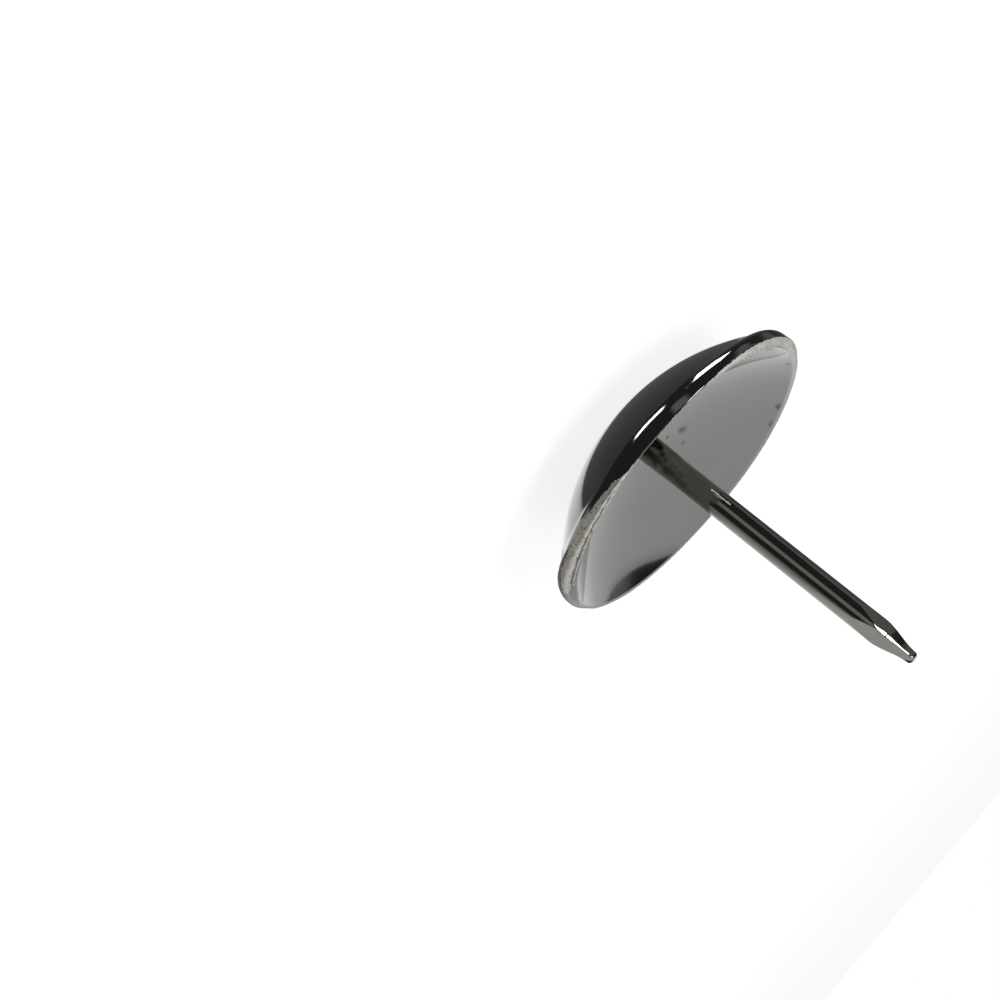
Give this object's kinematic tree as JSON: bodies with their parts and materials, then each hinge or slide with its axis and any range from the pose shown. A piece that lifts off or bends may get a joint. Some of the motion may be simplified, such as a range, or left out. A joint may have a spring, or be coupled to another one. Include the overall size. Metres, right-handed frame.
{
  "type": "upholstery tack",
  "caption": "Domed decorative upholstery tack: hollow stamped steel head with a beaded rim and a welded wire nail with a pinched point.",
  "frame": {"origin": "crown of the dome, where the tack stands on its head", "axes": "+Z along the nail, from the head to the point; one ridge of the point faces -Y"},
  "size_m": [0.019, 0.019, 0.0205],
  "materials": {
    "head_plating": "bright black nickel plate on stamped steel, with the sheared edge of the rim bare",
    "nail_plating": "bright black nickel plate on drawn wire"
  },
  "bodies": {
    "root": {"domed_head": "head_plating", "nail": "nail_plating"}
  },
  "joints": []
}
